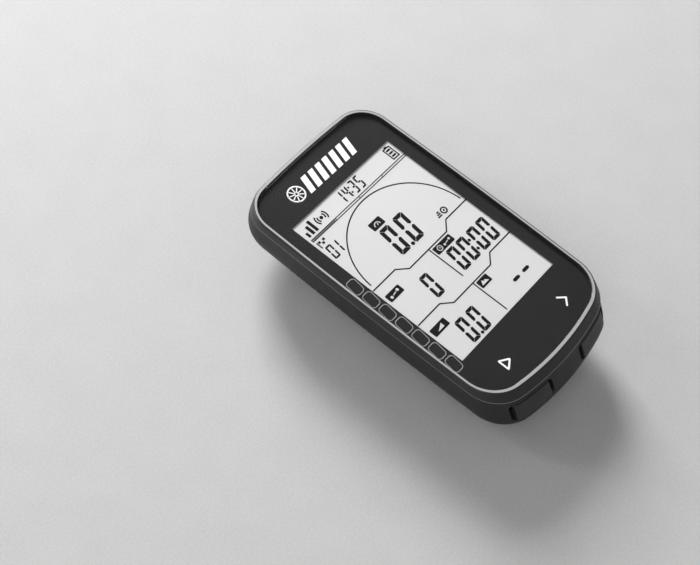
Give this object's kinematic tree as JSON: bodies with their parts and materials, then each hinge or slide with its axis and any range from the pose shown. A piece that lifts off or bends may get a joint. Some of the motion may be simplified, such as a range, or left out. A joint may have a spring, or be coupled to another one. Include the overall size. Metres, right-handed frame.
{
  "type": "cycling computer",
  "caption": "Flat handlebar computer: glass face over a segment display in a rounded two-part casing, push keys on the sloped end, sealed charge port and quarter-turn mount insert on the back.",
  "frame": {"origin": "below the middle of the face, on the plane of the mount insert's outer face, which the unit rests on", "axes": "+X to the right across the face, +Y towards the top end of the face (away from the lower keys), +Z out of the face"},
  "size_m": [0.0492, 0.0888, 0.019],
  "materials": {
    "lens_glass": "clear hardened glass, glossy",
    "border_ink": "dark grey printed border",
    "adhesive": "black foam adhesive",
    "housing_plastic": "satin dark grey moulding with a brighter polished lip",
    "casing_plastic": "fine textured near-black moulding",
    "seal_rubber": "soft silicone",
    "display_film": "pale reflective display surface",
    "display_glass": "display glass",
    "diffuser_plastic": "milky diffuser",
    "frame_plastic": "white moulded frame",
    "flex_film": "amber polyimide",
    "connector_plastic": "black moulded plastic",
    "board": "solder-masked laminate",
    "screw_steel": "dark plated steel",
    "shield_metal": "tinned stamped sheet",
    "chip_plastic": "moulded chip",
    "antenna_ceramic": "fired ceramic",
    "membrane_film": "porous membrane",
    "contact_brass": "gold flashed spring contact",
    "battery_foil": "laminate pouch",
    "lead_insulation": "insulated wire",
    "port_steel": "drawn stainless shell",
    "flap_rubber": "matt elastomer",
    "insert_plastic": "glass filled nylon, satin",
    "key_plastic": "satin dark grey moulding",
    "plunger_plastic": "pale moulded plunger"
  },
  "bodies": {
    "housing": {"front_lens": "lens_glass", "lens_border": "border_ink", "lens_adhesive": "adhesive", "upper_housing": "housing_plastic", "lower_casing": "casing_plastic", "housing_seal": "seal_rubber", "lcd_polarizer": "display_film", "lcd_glass": "display_glass", "light_guide": "diffuser_plastic", "lcd_frame": "frame_plastic", "lcd_flex": "flex_film", "flex_connector": "connector_plastic", "main_board": "board", "board_screws": "screw_steel", "processor_shield": "shield_metal", "radio_shield": "shield_metal", "board_chips": "chip_plastic", "satellite_antenna": "antenna_ceramic", "link_antenna": "antenna_ceramic", "pressure_sensor": "shield_metal", "vent_membrane": "membrane_film", "buzzer": "connector_plastic", "buzzer_contacts": "contact_brass", "battery_cell": "battery_foil", "battery_pad": "adhesive", "battery_protection": "board", "battery_leads": "lead_insulation", "battery_connector": "connector_plastic", "casing_screws": "screw_steel", "charge_port_shell": "port_steel", "charge_port_tongue": "connector_plastic", "charge_port_gasket": "seal_rubber", "flap_tether": "flap_rubber", "mount_insert": "insert_plastic", "mount_screws": "screw_steel", "start_key_o_ring": "seal_rubber", "start_switch": "connector_plastic", "page_key_o_ring": "seal_rubber", "page_switch": "connector_plastic", "power_key_o_ring": "seal_rubber", "power_switch": "connector_plastic"},
    "start_key_body": {"start_key": "key_plastic", "start_key_clip": "screw_steel", "start_switch_plunger": "plunger_plastic"},
    "page_key_body": {"page_key": "key_plastic", "page_key_clip": "screw_steel", "page_switch_plunger": "plunger_plastic"},
    "power_key_body": {"power_key": "key_plastic", "power_key_clip": "screw_steel", "power_switch_plunger": "plunger_plastic"},
    "flap_body": {"charge_port_flap": "flap_rubber"}
  },
  "joints": [
    {"name": "start_press", "type": "slide", "parent": "housing", "child": "start_key_body", "axis": [0, 1, 0], "range_m": [0, 0.0004], "stiffness_N_per_m": 900},
    {"name": "page_press", "type": "slide", "parent": "housing", "child": "page_key_body", "axis": [0, 1, 0], "range_m": [0, 0.0004], "stiffness_N_per_m": 900},
    {"name": "power_press", "type": "slide", "parent": "housing", "child": "power_key_body", "axis": [-1, 0, 0], "range_m": [0, 0.0004], "stiffness_N_per_m": 900},
    {"name": "flap_hinge", "type": "hinge", "parent": "housing", "child": "flap_body", "pos_m": [-0.0056, -0.0334, 0.0051], "axis": [0, 1, 0], "range_deg": [0, 110], "stiffness_Nm_per_rad": 0.0004}
  ]
}
